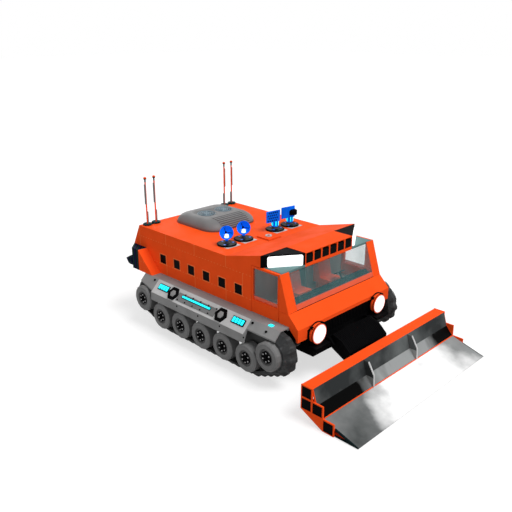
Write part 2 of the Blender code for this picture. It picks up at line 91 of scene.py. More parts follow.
class Wire:
    """A node's output that adds, multiplies and compares like a number."""

    def __init__(self, finish, socket):
        self.finish = finish
        self.socket = socket

    def maths(self, operation, *others, swapped=False):
        values = [self, *others]
        if swapped:
            values.reverse()
        return self.finish.node("ShaderNodeMath", {"operation": operation}, values)

    def __add__(self, other):
        return self.maths("ADD", other)

    def __sub__(self, other):
        return self.maths("SUBTRACT", other)

    def __rsub__(self, other):
        return self.maths("SUBTRACT", other, swapped=True)

    def __mul__(self, other):
        return self.maths("MULTIPLY", other)

    def __truediv__(self, other):
        return self.maths("DIVIDE", other)

    def __mod__(self, other):
        return self.maths("FLOORED_MODULO", other)

    def __pow__(self, other):
        return self.maths("POWER", other)

    def __lt__(self, other):
        return self.maths("LESS_THAN", other)

    def __gt__(self, other):
        return self.maths("GREATER_THAN", other)

    def __abs__(self):
        return self.maths("ABSOLUTE")

    __radd__ = __add__
    __rmul__ = __mul__

    def least(self, other):
        return self.maths("MINIMUM", other)

    def most(self, other):
        return self.maths("MAXIMUM", other)

    def ramp(self, low, high, start=0.0, end=1.0):
        """The value carried from low..high to start..end, held at both ends."""
        return self.finish.node("ShaderNodeMapRange", {}, [self, low, high, start, end])

    def near(self, centre, half, soft=0.02):
        """1 within half of centre, falling to 0 over soft."""
        return abs(self - centre).ramp(half, half + soft, 1.0, 0.0)


class Finish:
    """A material and the nodes behind its shader."""

    def __init__(self, name, colour, roughness=0.5, metallic=0.0, **sockets):
        self.material = bpy.data.materials.new(name)
        self.material.use_nodes = True
        self.tree = self.material.node_tree
        self.shader = self.tree.nodes["Principled BSDF"]
        self.colour = (*colour, 1.0)
        self.set(Base_Color=self.colour, Roughness=roughness, Metallic=metallic, **sockets)

    def feed(self, socket, value):
        if isinstance(value, Wire):
            self.tree.links.new(value.socket, socket)
        else:
            socket.default_value = value

    def set(self, **sockets):
        for name, value in sockets.items():
            self.feed(self.shader.inputs[name.replace("_", " ")], value)
        return self

    def node(self, kind, settings, values, output=0):
        """Any node: its settings first, then the values or wires of its sockets."""
        made = self.tree.nodes.new(kind)
        for name, value in settings.items():
            setattr(made, name, value)
        pairs = values.items() if isinstance(values, dict) else enumerate(values)
        for name, value in pairs:
            self.feed(made.inputs[name], value)
        return Wire(self, made.outputs[output])

    def place(self):
        """The point on the piece in metres."""
        return self.node("ShaderNodeTexCoord", {}, [], "Object")

    def axes(self):
        """The point on the piece in modules: x, f and z."""
        parts = [self.node("ShaderNodeSeparateXYZ", {}, [self.place()], i) for i in range(3)]
        return parts[0] / M, (F_ZERO - parts[1]) / M, parts[2] / M + GROUND

    def noise(self, scale, detail=3.0, stretch=(1, 1, 1)):
        moved = self.node("ShaderNodeMapping", {}, {"Vector": self.place(), "Scale": stretch})
        return self.node("ShaderNodeTexNoise", {}, {"Vector": moved, "Scale": scale, "Detail": detail})

    def mix(self, part, first, second):
        """The first colour turning to the second as part goes from 0 to 1."""
        return self.node("ShaderNodeMix", {"data_type": "RGBA"}, {0: part, 6: first, 7: second}, 2)

    def base(self):
        """The base colour as it stands: a wire, or the plain colour."""
        socket = self.shader.inputs["Base Color"]
        return Wire(self, socket.links[0].from_socket) if socket.is_linked else self.colour

    def shade(self, part, colour):
        """Base colour changed to another where part is 1."""
        return self.set(Base_Color=self.mix(part, self.base(), (*colour, 1.0)))

    def relief(self, height, depth=0.002, strength=0.5):
        """Fine relief of the surface, depth in metres."""
        bump = self.node("ShaderNodeBump", {}, {"Strength": strength, "Distance": depth, "Height": height})
        return self.set(Normal=bump)

    def worn(self, dark=0.82, grain=60.0):
        """Cloudy variation of colour and polish with a fine grain."""
        cloud = self.noise(2.2, 4.0)
        darker = tuple(c * dark for c in self.colour[:3])
        self.shade(cloud.ramp(0.35, 0.75), darker)
        rough = self.shader.inputs["Roughness"].default_value
        self.set(Roughness=cloud.ramp(0.3, 0.7, rough - 0.06, rough + 0.1))
        return self.relief(self.noise(grain, 2.0), 0.0006, 0.35)

    def paint(self, *names):
        """Put on nodes of the frame in place of their plain finish."""
        for name in names:
            slots = NODES[name].data.materials
            slots.clear()
            slots.append(self.material)
        return self


def both(*names):
    """The left and right node of each name."""
    return [f"{name}_{word}" for name in names for word in SIDES]


# ---- modelling -----------------------------------------------------------------------------------

def primitive(name, kind, place, extent, turn=(0, 0, 0), **options):
    """A primitive at its size and place in modules, its object left at the origin."""
    add = getattr(bpy.ops.mesh, f"primitive_{kind}_add")
    add(location=at(*place), rotation=turn, **options)
    piece = bpy.context.object
    piece.name = piece.data.name = name
    piece.scale = [length * M for length in extent]
    bpy.ops.object.transform_apply(location=True, rotation=True, scale=True)
    return piece


def applied(piece, kind, **settings):
    """A modifier added and applied."""
    bpy.context.view_layer.objects.active = piece
    change = piece.modifiers.new(kind.lower(), kind)
    for name, value in settings.items():
        setattr(change, name, value)
    bpy.ops.object.modifier_apply(modifier=change.name)
    return piece


def shaped(piece, test, *steps):
    """Edit-mode operators on the faces whose centre and normal pass the test."""
    bpy.context.view_layer.objects.active = piece
    bpy.ops.object.mode_set(mode="EDIT")
    bpy.ops.mesh.select_mode(type="FACE")
    bpy.ops.mesh.select_all(action="DESELECT")
    mesh = bmesh.from_edit_mesh(piece.data)
    for face in mesh.faces:
        face.select_set(bool(test(face.calc_center_median(), face.normal)))
    bmesh.update_edit_mesh(piece.data)
    for operator, settings in steps:
        getattr(bpy.ops.mesh, operator)(**settings)
    bpy.ops.object.mode_set(mode="OBJECT")
    return piece


def soft_edges(piece, width, segments=2):
    """The piece with its sharp edges bevelled, by a width in modules."""
    return applied(piece, "BEVEL", width=width * M, segments=segments, limit_method="ANGLE")


def block(name, low, high, edge=0.03):
    """A block between two corners in modules, its edges eased."""
    middle = [(a + b) / 2 for a, b in zip(low, high)]
    size = [abs(b - a) for a, b in zip(low, high)]
    return soft_edges(primitive(name, "cube", middle, size, size=1), edge)


TURNS = {"x": (0, -math.pi / 2, 0), "f": (math.pi / 2, 0, 0), "z": (0, 0, 0)}


def drum(name, place, axis, radius, length, sides=24, inset=0.2, sink=0.3, edge=0.03):
    """A disc about an axis, its outer face inset and sunk; -X, the front or the top is outer."""
    piece = primitive(name, "cylinder", place, (radius, radius, length), TURNS[axis],
                      radius=1, depth=1, vertices=sides)
    out = {"x": Vector((-1, 0, 0)), "f": Vector((0, -1, 0)), "z": Vector((0, 0, 1))}[axis]
    shaped(piece, lambda centre, normal: normal.dot(out) > 0.9,
           ("inset", {"thickness": inset * radius * M, "depth": 0}),
           ("inset", {"thickness": 0.06 * radius * M, "depth": -sink * length * M}))
    return soft_edges(piece, edge)


def hoop(name, place, axis, radius, thick, sides=32):
    """A round bar bent into a hoop about an axis."""
    bpy.ops.mesh.primitive_torus_add(location=at(*place), rotation=TURNS[axis], major_radius=radius * M,
                                     minor_radius=thick * M, major_segments=sides, minor_segments=8)
    piece = bpy.context.object
    piece.name = piece.data.name = name
    bpy.ops.object.transform_apply(location=True, rotation=True, scale=True)
    shaped(piece, lambda centre, normal: True, ("normals_make_consistent", {}))
    piece.data.shade_smooth()
    return piece


def flat_frame(name, centre, size, turn, border, depth):
    """A frame: a plane inset, its middle deleted, then given its thickness."""
    piece = primitive(name, "plane", centre, (*size, 1), turn, size=1)
    shaped(piece, lambda middle, normal: True, ("inset", {"thickness": border * M, "depth": 0}),
           ("delete", {"type": "FACE"}))
    return applied(piece, "SOLIDIFY", thickness=depth * M, offset=1)


def copies(piece, shifts):
    """The piece and a copy of it at each further shift, given in modules."""
    made = [piece]
    for x, f, z in shifts:
        twin = piece.copy()
        twin.data = piece.data.copy()
        bpy.context.scene.collection.objects.link(twin)
        twin.data.transform(Matrix.Translation((x * M, -f * M, z * M)))
        made.append(twin)
    return made


def joined(name, pieces):
    """The pieces as one, under a name."""
    bpy.ops.object.select_all(action="DESELECT")
    for piece in pieces:
        piece.select_set(True)
    bpy.context.view_layer.objects.active = pieces[0]
    if len(pieces) > 1:
        bpy.ops.object.join()
    pieces[0].name = pieces[0].data.name = name
    bpy.ops.object.select_all(action="DESELECT")
    return pieces[0]


def two_sided(piece):
    """The piece and its mirror image on the other side of the vehicle."""
    return applied(piece, "MIRROR", use_mirror_merge=False)


def tilted(piece, centre, matrix):
    """The piece, modelled flat about the origin, turned by a matrix and carried to its centre."""
    piece.data.transform(Matrix.Translation(at(*centre)) @ matrix.to_4x4())
    return piece


def fitted(piece, finish, body, slot, *stands_for):
    """The piece in its finish, on its body and in place of any nodes it stands for; the slot is not used.
    """
    piece.data.materials.clear()
    piece.data.materials.append(finish.material)
    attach(piece, body)
    if stands_for:
        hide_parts(*stands_for)
    return piece


# ---- finishes ------------------------------------------------------------------------------------

ORANGE = (1.0, 0.095, 0.014)
PALE_ORANGE = (1.0, 0.21, 0.06)
BLACK = (0.002, 0.002, 0.0024)
TEAL = (0.003, 0.03, 0.034)


def paint_finish(name, colour, roughness=0.5, metallic=0.0):
    """Paint with little sheen, clouded and with a fine grain."""
    return Finish(name, colour, roughness, metallic, Specular_IOR_Level=0.015).worn(0.92)


def hull_paint():
    """Hull paint with its panel seams: level ones round the hull and upright ones between them."""
    finish = paint_finish("orange hull paint", ORANGE)
    x, f, z = finish.axes()
    half_seam, soft = 0.018, 0.01
    dashes = ((f * 2.6) % 1).ramp(0.55, 0.6)
    seams = z.near(2, half_seam, soft).most(z.near(0, half_seam, soft)) * dashes
    # upright seams: f, then z of the lower and the upper end
    for seam_f, low, high in ((1, 0, 2), (-1, 2, 3), (-1, -1, 0), (-5, -1, 0), (-9, -1, 0), (-9, 2, 3),
                              (-5, 2, 3), (-13, 1, 3), (-12, 0, 1)):
        middle, half = (low + high) / 2, (high - low) / 2
        seams = seams.most(f.near(seam_f, half_seam, soft) * z.near(middle, half, soft))
    on_side = abs(x) > 5.9
    return finish.shade(seams * on_side, PALE_ORANGE)


def pillar_paint():
    """Orange pillars; the ceiling plate's corners before the visor are tinted glass."""
    finish = paint_finish("pillar paint", ORANGE)
    x, f, z = finish.axes()
    ahead_of_visor = f > 3 + (6 - abs(x)) * 0.667
    on_ceiling = (z > 2.79) * (f < 5.04)
    return finish.shade(on_ceiling * ahead_of_visor, (0.13, 0.22, 0.22))


def visor_paint():
    """Orange visor whose two corner lamp housings are black."""
    finish = paint_finish("visor paint", ORANGE)
    x = finish.axes()[0]
    return finish.shade(abs(x) > 3.01, BLACK)


def blade_steel(finish, x, depth, row):
    """The blade's working face: clouded above, dark below with painted streaks of light, and a lip rubbed
    bright by wear whose white middle is a painted reflection.
    """
    cloud = finish.noise(0.9, 5.0)
    rays = finish.noise(1.3, 3.0, (1.6, 0.5, 1))
    # 1 across the middle of the blade, where the painted light on the lower face and the painted
    # reflection on the lip are brightest
    middle = abs(x - 1.2).ramp(3.0, 8.0, 1.0, 0.0)
    upper = finish.mix(cloud.ramp(0.45, 0.75), (0.03, 0.033, 0.034, 1), (0.13, 0.14, 0.14, 1))
    # painted streaks of light on the dark lower face, brightest in the middle
    lit = (middle * 0.9 + rays - 0.55).ramp(0.3, 0.8)
    lower = finish.mix(lit, (0.002, 0.002, 0.002, 1), (0.30, 0.31, 0.31, 1))
    reach = (depth - 2) / 3
    # brightness of the lip: wear along its reach and in clouds, with a painted reflection across the
    # middle
    wear_and_reflection = (middle * 0.85 + reach * 0.3 + cloud * 1.3 - 0.85).ramp(0.15, 0.62)
    # the lip's grey ends: clouds, and painted light that grows towards +x
    ends = finish.mix((x.ramp(-9, 9) * 0.45 + cloud * 1.5 - 0.5).ramp(0, 1), (0.05, 0.055, 0.055, 1),
                      (0.40, 0.41, 0.41, 1))
    lip = finish.mix(wear_and_reflection, ends, (0.98, 0.98, 0.98, 1))
    return finish.mix(row > 1.78, finish.mix(row > 1.0, lip, lower), upper)


def blade_paint():
    """Orange back and top, dark worn face, polished lip and black panels in the end plates."""
    finish = paint_finish("blade paint", ORANGE)
    x, f, z = finish.axes()
    depth = f - BLADE_F
    row = (z - BLADE_TOP) / BLADE_ROW + 3
    # depth of the face at each height: the front face leans out in three straight stretches
    edge = (1 + (3 - row) * 0.303).most(2 + (1 - row) * 0.808).most(2 + (1 - row) * 3.26).least(5.0)
    face = (depth > edge - 0.05) * (abs(x) < 8.87) * (row < 2.985)
    colour = finish.mix(face, finish.base(), blade_steel(finish, x, depth, row))
    lip_end = (abs(x) > 8.8) * (depth > 3.02)
    colour = finish.mix(lip_end, colour, (0.006, 0.014, 0.015, 1))
    across, up, half_panel = depth % 1, row % 1, 0.42
    panel = across.near(0.5, half_panel, 0.005) * up.near(0.5, half_panel, 0.005) * (abs(x) > 8.94)
    panel = panel * (row > 1.0).most(depth > 2.0)
    return finish.set(Base_Color=finish.mix(panel, colour, (*BLACK, 1)))


def glow(name, colour, strength):
    """A lit lens, a little uneven."""
    finish = Finish(name, colour, 0.2, Emission_Strength=strength)
    bright = (*colour, 1.0)
    dim = (*(c * 0.8 for c in colour), 1.0)
    finish.set(Emission_Color=finish.mix(finish.noise(6, 2).ramp(0.4, 0.7), bright, dim))
    return finish


def headlamp_paint():
    """Orange bowl with a lit front."""
    finish = paint_finish("headlamp bowl", ORANGE)
    x, f, z = finish.axes()
    from_middle = ((abs(x) - HEADLAMP_X) ** 2 + (z - HEADLAMP_Z) ** 2) ** 0.5
    lit = (f > 7.44) * from_middle.ramp(0.66, 0.8, 1.0, 0.0)
    finish.shade(lit, (1.0, 1.0, 0.98))
    finish.set(Emission_Color=finish.mix(lit, (0, 0, 0, 1), (1, 1, 1, 1)), Emission_Strength=1.0)
    return finish


def screen_glass():
    """Teal glass over a low band of orange tint."""
    finish = Finish("cab glass", (0.16, 0.32, 0.33), 0.05, Specular_IOR_Level=0.2)
    z = finish.axes()[2]
    band = z.ramp(0.42, 0.46, 1.0, 0.0)
    finish.shade(band, (0.95, 0.13, 0.05))
    smear = finish.noise(1.4, 3.0, (1, 1, 0.4)).ramp(0.4, 0.7, 0.0, 0.1)
    return finish.set(Alpha=band * 0.55 + 0.13 + smear)


def lamp_shell():
    """Blue lamp on a black turntable with a grey collar; the blue shell glows faintly, painted light that
    lifts its shaded side.
    """
    finish = Finish("blue lamp shell", (0.0, 0.17, 1.0), 0.4, Specular_IOR_Level=0.05).worn(0.6)
    z = finish.axes()[2]
    under_lamp, turntable = z < 3.34, z < 3.16
    finish.shade(under_lamp, (0.06, 0.06, 0.07))
    # faint blue glow above the collar: painted light that brightens the shell's shaded side
    lit = finish.mix(under_lamp, (0.0, 0.05, 0.4, 1), (0, 0, 0, 1))
    finish.set(Emission_Color=lit, Emission_Strength=0.6)
    return finish.shade(turntable, BLACK)


def whip_paint():
    """Orange whips with a black band near the tip, on dark feet."""
    finish = paint_finish("antenna paint", ORANGE)
    z = finish.axes()[2]
    band, foot = z.near(7.28, 0.17), z < 3.14
    finish.shade(band, BLACK)
    return finish.shade(foot, TEAL)


def locker_paint():
    """Black locker with upright teal and navy stripes."""
    finish = paint_finish("locker paint", BLACK)
    x, f = finish.axes()[:2]
    stripes = ((f + x) * 1.6) % 1
    finish.shade(stripes.near(0.25, 0.12), TEAL)
    return finish.shade(stripes.near(0.7, 0.1), (0.004, 0.008, 0.06))


def rubber():
    """Track rubber, lighter where the shoes' crests are rubbed."""
    finish = Finish("track rubber", (0.03, 0.031, 0.032), 0.78, Specular_IOR_Level=0.2)
    rub = finish.noise(9, 4.0, (0.3, 1, 1)).ramp(0.52, 0.8)
    finish.shade(rub, (0.09, 0.092, 0.094))
    return finish.relief(finish.noise(70, 2.0), 0.001)


def metal(name, colour, roughness=0.45, dark=0.85):
    """Matt grey metal, brushed along the vehicle."""
    finish = Finish(name, colour, roughness, 0.0, Specular_IOR_Level=0.12).worn(dark)
    brushed = finish.noise(30, 2.0, (4, 0.15, 4))
    return finish.relief(brushed, 0.0006, 0.3)


FINISHES = {
    "hull": hull_paint(),
    "orange": paint_finish("orange sheet paint", ORANGE),
    "pale orange": paint_finish("pale orange trim", PALE_ORANGE),
    "black": paint_finish("black steel", BLACK, 0.55),
    "grey": metal("grey steel", (0.19, 0.19, 0.19)),
    "pale grey": metal("pale grey steel", (0.55, 0.55, 0.55)),
    "dark grey": metal("dark grey steel", (0.1, 0.1, 0.1)),
    "guard": metal("guard alloy", (0.27, 0.27, 0.27)),
    "cyan": glow("cyan lens", (0.0, 0.85, 1.0), 1.0),
    "white": glow("white lens", (1.0, 1.0, 1.0), 1.1),
    "blue": Finish("blue trim", (0.0, 0.16, 0.95), 0.3).worn(0.7),
    "teal": paint_finish("teal trim", TEAL, 0.35),
    "pale blue": metal("pale blue steel", (0.27, 0.36, 0.42), 0.4),
    "ice": glow("ice lens", (0.75, 0.92, 1.0), 0.9),
    "navy": paint_finish("navy trim", (0.002, 0.008, 0.09), 0.4),
    "red": paint_finish("red dot", (0.5, 0.01, 0.01), 0.4),
    "dark orange": paint_finish("dark orange seam", (0.6, 0.05, 0.008)),
}


def coat_all():
    """A finish on every node of the frame."""
    FINISHES["hull"].paint(*both("hull_side"), "rear_panel", "roof")
    FINISHES["orange"].paint("front_panel", "roof_hatch", *both("door"))
    pillar_paint().paint("cab_frame")
    visor_paint().paint("visor")
    blade_paint().paint("blade")
    whip_paint().paint(*both("antennas"))
    FINISHES["black"].paint("chassis_frame", "radiator_grille", "front_bumper", "rear_hitch", "lift_frame",
                            "lift_barrel", *both("fan"))
    FINISHES["grey"].paint("fan_housing", "blade_head", *both("running_gear"))
    FINISHES["pale grey"].paint("floor", "bulkhead")
    metal("engine iron", (0.08, 0.08, 0.085), 0.7).paint("engine_block")
    FINISHES["guard"].paint(*both("track_guard"))
    rubber().paint(*both("track"))
    locker_paint().paint(*both("rear_locker"))
    screen_glass().paint("windscreen", *both("door_glass"))
    paint_finish("dark glass", BLACK, 0.15).paint("visor_window", *both("side_windows"))
    paint_finish("seat cover", (1.0, 0.13, 0.04), 0.8).paint("driver_seat", "passenger_seat")
    paint_finish("cab trim", TEAL, 0.6).paint("dashboard")
    headlamp_paint().paint(*both("headlamp"))
    lamp_shell().paint("dish_lamp_outer", "dish_lamp_inner", "panel_lamp_inner", "panel_lamp_outer")
    metal("bright rod", (0.6, 0.6, 0.62), 0.14, 0.95).set(Metallic=1.0).paint("lift_rod")


# ---- track guards ---------------------------------------------------------------------------------

HALF_ROOT = math.sqrt(0.5)
SLOPE = Matrix(((0, HALF_ROOT, -HALF_ROOT), (-1, 0, 0), (0, HALF_ROOT, HALF_ROOT)))


def on_slope(piece, f, up, lift=0.0):
    """A piece modelled flat about the origin, laid on the right guard's slope."""
    side = (up - lift) * HALF_ROOT - 7.5
    return tilted(piece, (side, f, -1.5 + (up + lift) * HALF_ROOT), SLOPE)


def flat_block(name, size, edge=0.03):
    """A block about the origin, ready to be tilted."""
    bpy.ops.mesh.primitive_cube_add(size=1, scale=[length * M for length in size])
    piece = bpy.context.object
    piece.name = piece.data.name = name
    bpy.ops.object.transform_apply(location=False, rotation=False, scale=True)
    return soft_edges(piece, edge)


def hexagon(name, radius, height, inset, sink):
    """A hexagonal disc about the origin, its top inset and sunk."""
    bpy.ops.mesh.primitive_cylinder_add(vertices=6, radius=radius * M, depth=height * M,
                                        rotation=(0, 0, math.pi / 6))
    piece = bpy.context.object
    piece.name = piece.data.name = name
    bpy.ops.object.transform_apply(location=False, rotation=True, scale=False)
    shaped(piece, lambda centre, normal: normal.z > 0.9,
           ("inset", {"thickness": inset * M, "depth": 0}),
           ("inset", {"thickness": 0.02 * M, "depth": -sink * M}))
    return soft_edges(piece, 0.03)


def guard_trim():
    """Plate, lamps, sockets and bolts on each guard's slope."""
    rear, front = -8.85, 3.05
    plate = on_slope(flat_block("plate", (front - rear, 1.36, 0.03), 0.01), (rear + front) / 2, 0, 0.015)
    fitted(two_sided(joined("guard_plates", [plate])), FINISHES["pale grey"], "chassis", "guard_alloy")
    band = on_slope(flat_block("band", (4.9, 0.78, 0.05), 0.02), -3.1, -0.05, 0.045)
    fitted(two_sided(joined("guard_bands", [band])), FINISHES["grey"], "chassis", "guard_alloy")
    wells, lenses = [], []
    lamp_up, lens_pitch = 0.12, 0.33
    for f in (-7.62, 2.0):
        wells.append(on_slope(flat_block("well", (1.45, 0.6, 0.06), 0.02), f, lamp_up, 0.05))
        for i in range(4):
            lens = flat_block("lens", (0.24, 0.44, 0.06), 0.05)
            lenses.append(on_slope(lens, f - 0.49 + lens_pitch * i, lamp_up, 0.1))
    wells.append(on_slope(flat_block("slot", (3.75, 0.3, 0.05), 0.08), -3.15, 0.08, 0.07))
    lenses.append(on_slope(flat_block("strip", (3.6, 0.17, 0.06), 0.07), -3.15, 0.08, 0.1))
    fitted(two_sided(joined("guard_lamp_wells", wells)), FINISHES["teal"], "chassis", "black_steel")
    fitted(two_sided(joined("guard_lamp_lenses", lenses)), FINISHES["cyan"], "chassis", "lamp_lens")
    rims, caps = [], []
    for f in (-6.15, 0.05):
        rims.append(on_slope(hexagon("rim", 0.66, 0.16, 0.26, 0.1), f, 0.0, 0.08))
        caps.append(on_slope(hexagon("cap", 0.33, 0.1, 0.08, -0.03), f, 0.0, 0.1))
    fitted(two_sided(joined("guard_socket_rims", rims)), FINISHES["black"], "chassis", "black_steel")
    fitted(two_sided(joined("guard_socket_caps", caps)), FINISHES["guard"], "chassis", "guard_alloy")
    bolts = []
    for i in range(5):
        for up in (-0.33, 0.31):
            bolts.append(on_slope(hexagon("bolt", 0.07, 0.06, 0.03, 0.02), -5.0 + i + up, up, 0.08))
    for f in (-6.4, -3.6, -0.9, 1.9):
        bolts.append(drum("bolt", (-8.01, f + 1.25, -2.2), "x", 0.07, 0.05, 8, edge=0.008))
    # bolts on the tops of the guard's ends: x, f and z
    for x, f, z in ((-7.2, 3.35, -1.15), (-7.35, 4.95, -1.3), (-7.2, -9.3, -1.15), (-6.5, -10.4, -0.97)):
        bolts.append(drum("bolt", (x, f, z), "z", 0.1, 0.12, 10, edge=0.01))
    fitted(two_sided(joined("guard_bolts", bolts)), FINISHES["black"], "chassis", "black_steel")
    light = block("light", (-6.95, 4.75, -1.0), (-6.6, 5.15, -0.93), 0.04)
    fitted(two_sided(joined("guard_front_lights", [light])), FINISHES["cyan"], "chassis", "lamp_lens")


# ---- wheels -----------------------------------------------------------------------------------------

# f and z of the wheels: five road wheels, then the rear and the front idler
AXLES = [(-7.6 + 2.72 * i, -4.0) for i in range(5)] + [(-10.25, -3.05), (5.55, -3.05)]


def wheel_trim():
    """Black hubs with bright bolts, and the line between tyre and rim, on the fourteen wheels."""
    first_f, first_z = AXLES[0]
    shifts = [(0, f - first_f, z - first_z) for f, z in AXLES[1:]]
    hub = drum("hub", (-7.9, first_f, first_z), "x", 0.5, 0.14, 24, 0.35, 0.5)
    cap = drum("cap", (-7.92, first_f, first_z), "x", 0.14, 0.14, 12, 0.3, -0.2)
    fitted(two_sided(joined("wheel_hubs", copies(joined("hub", [hub, cap]), shifts))), FINISHES["black"],
           "chassis", "black_steel")
    bolts = []
    for i in range(6):
        angle, ring = math.pi / 3 * (i + 0.5), 0.36
        spot = (-7.96, first_f + ring * math.cos(angle), first_z + ring * math.sin(angle))
        bolts.append(drum("bolt", spot, "x", 0.065, 0.06, 6, 0.3, 0.2, 0.01))
    fitted(two_sided(joined("wheel_bolts", copies(joined("bolts", bolts), shifts))), FINISHES["pale grey"],
           "chassis", "grey_steel")
    line = hoop("line", (-7.985, first_f, first_z), "x", 0.98, 0.018)
    inner = hoop("inner", (-7.97, first_f, first_z), "x", 0.62, 0.03)
    fitted(two_sided(joined("wheel_lines", copies(joined("lines", [line, inner]), shifts))),
           FINISHES["dark grey"], "chassis", "black_steel")


def painted_shade_plates():
    """Dark plates inside the belts, behind the wheels: painted shade between the wheels, under the guards.
    """
    # a dark sheet that stands for the shade behind the wheels
    shade_plate = block("shade_plate", (-6.72, -9.9, -3.4), (-6.64, 5.2, -1.86), 0.02)
    fitted(two_sided(joined("painted_shade_plates", [shade_plate])), FINISHES["dark grey"], "chassis", "black_steel")


# ---- roof -------------------------------------------------------------------------------------------

def smooth_cowl():
    """The fan housing's skin, merged and shaded smooth."""
    cowl = NODES["fan_housing"].copy()
    cowl.data = cowl.data.copy()
    del cowl["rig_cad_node"]
    cowl.name = cowl.data.name = "fan_cowl"
    bpy.context.scene.collection.objects.link(cowl)
    shaped(cowl, lambda centre, normal: True, ("remove_doubles", {"threshold": 0.0005}))
    bpy.context.view_layer.objects.active = cowl
    cowl.select_set(True)
    bpy.ops.object.shade_smooth_by_angle(angle=math.radians(35))
    bpy.ops.object.select_all(action="DESELECT")
    fitted(cowl, FINISHES["grey"], "chassis", "grey_steel", "fan_housing")


def cowl_front(part):
    """f and z on the cowl's rounded front: part is 0 at its top and 1 near its foot."""
    turn = math.pi / 2 * (1 - part * 0.92)
    return -6 - 1.6 * (1 - math.cos(turn)), ROOF + 0.95 * math.sin(turn)


def cowl_trim():
    """Slats down the cowl's front with dark strips of painted shade between them, and a ringed guard over
    each fan.
    """
    count = 8
    slats = []
    for i in range(count):
        f, z = cowl_front((i + 0.5) / count)
        slats.append(block("slat", (-1.75, f - 0.03, z - 0.02), (1.75, f + 0.07, z + 0.035), 0.015))
    slats += [hoop("end", (side * 1.72, -7.3, 3.5), "x", 0.1, 0.03, 12) for side in (-1, 1)]
    fitted(joined("cowl_slats", slats), FINISHES["guard"], "chassis", "grey_steel")
    # dark strips between the slats: painted shade in the openings behind them
    slat_shade_strips = []
    for i in range(1, count):
        f, z = cowl_front(i / count)
        slat_shade_strips.append(block("slat_shade_strip", (-1.7, f - 0.05, z - 0.02), (1.7, f + 0.03, z + 0.015), 0.01))
    fitted(joined("cowl_slat_shade", slat_shade_strips), FINISHES["dark grey"], "chassis", "black_steel")
    rings = []
    for x in (-1.08, 1.08):
        f, z = -9.0, 3.96
        rings += [hoop("ring", (x, f, z), "z", radius, 0.025, 28) for radius in (0.24, 0.44, 0.64, 0.84)]
        for i in range(4):
            spoke = flat_block("spoke", (1.68, 0.045, 0.03), 0.008)
            rings.append(tilted(spoke, (x, f, z + 0.005), Matrix.Rotation(math.pi / 4 * i, 3, "Z")))
    fitted(joined("fan_guards", rings), FINISHES["pale blue"], "chassis", "grey_steel")


def turntable_trim():
    """Blue wedges and a rim on each of the four turntables, and pale pads on the roof beside them."""
    for name, x in DISH_LAMPS + PANEL_LAMPS:
        wedges = []
        for i in range(3):
            angle, ring = math.pi * 2 / 3 * i - math.pi / 2, 0.56
            place = (x + ring * math.cos(angle), LAMPS_F + ring * math.sin(angle), ROOF + 0.15)
            wedge = primitive("wedge", "cylinder", place, (0.17, 0.13, 0.05), (0, 0, angle),
                              radius=1, depth=1, vertices=3)
            wedges.append(soft_edges(wedge, 0.012))
        fitted(joined(f"{name}_wedges", wedges), FINISHES["blue"], name, "blue_shell")
        rim = hoop("rim", (x, LAMPS_F, ROOF + 0.1), "z", 0.83, 0.035)
        fitted(joined(f"{name}_rim", [rim]), FINISHES["black"], name, "black_steel")
    rear, front, top = LAMPS_F - 0.1, LAMPS_F + 0.95, ROOF + 0.018
    pads = [block("pad", (x - 0.75, rear, ROOF), (x + 0.75, front, top), 0.004) for x in (-4, -2, 2, 4)]
    fitted(joined("lamp_pads", pads), FINISHES["pale grey"], "chassis", "guard_alloy")


def from_dish(x, offset, drop=0.0):
    """A place beside the middle of the dish lamp at x: an offset in modules, then a drop."""
    return x + 0.1 + offset.x, LAMPS_F - offset.y, 3.98 + offset.z - drop


def dish_trim():
    """A feed on three struts and a lit core in each dish."""
    aim = Vector((-0.72, -0.52, 0.4)).normalized()
    turn = aim.to_track_quat("Z", "Y").to_matrix()
    strut_lean = Matrix.Rotation(math.radians(-38), 3, "Y")
    ring, rise = 0.3, 0.52
    for name, x in DISH_LAMPS:
        struts = []
        for i in range(3):
            angle = math.pi * 2 / 3 * i
            offset = turn @ Vector((ring * math.cos(angle), ring * math.sin(angle), rise))
            strut = flat_block("strut", (0.05, 0.05, 0.7), 0.012)
            lean = turn @ Matrix.Rotation(angle, 3, "Z") @ strut_lean
            struts.append(tilted(strut, from_dish(x, offset), lean))
        struts.append(drum("head", from_dish(x, aim * 0.78), "z", 0.09, 0.14, 10, 0.3, 0.2, 0.02))
        fitted(joined(f"{name}_struts", struts), FINISHES["black"], name, "black_steel")
        core = drum("core", from_dish(x, aim * 0.52, 0.3), "z", 0.2, 0.26, 14, 0.3, -0.1, 0.08)
        fitted(joined(f"{name}_core", [core]), FINISHES["ice"], name, "lamp_lens")


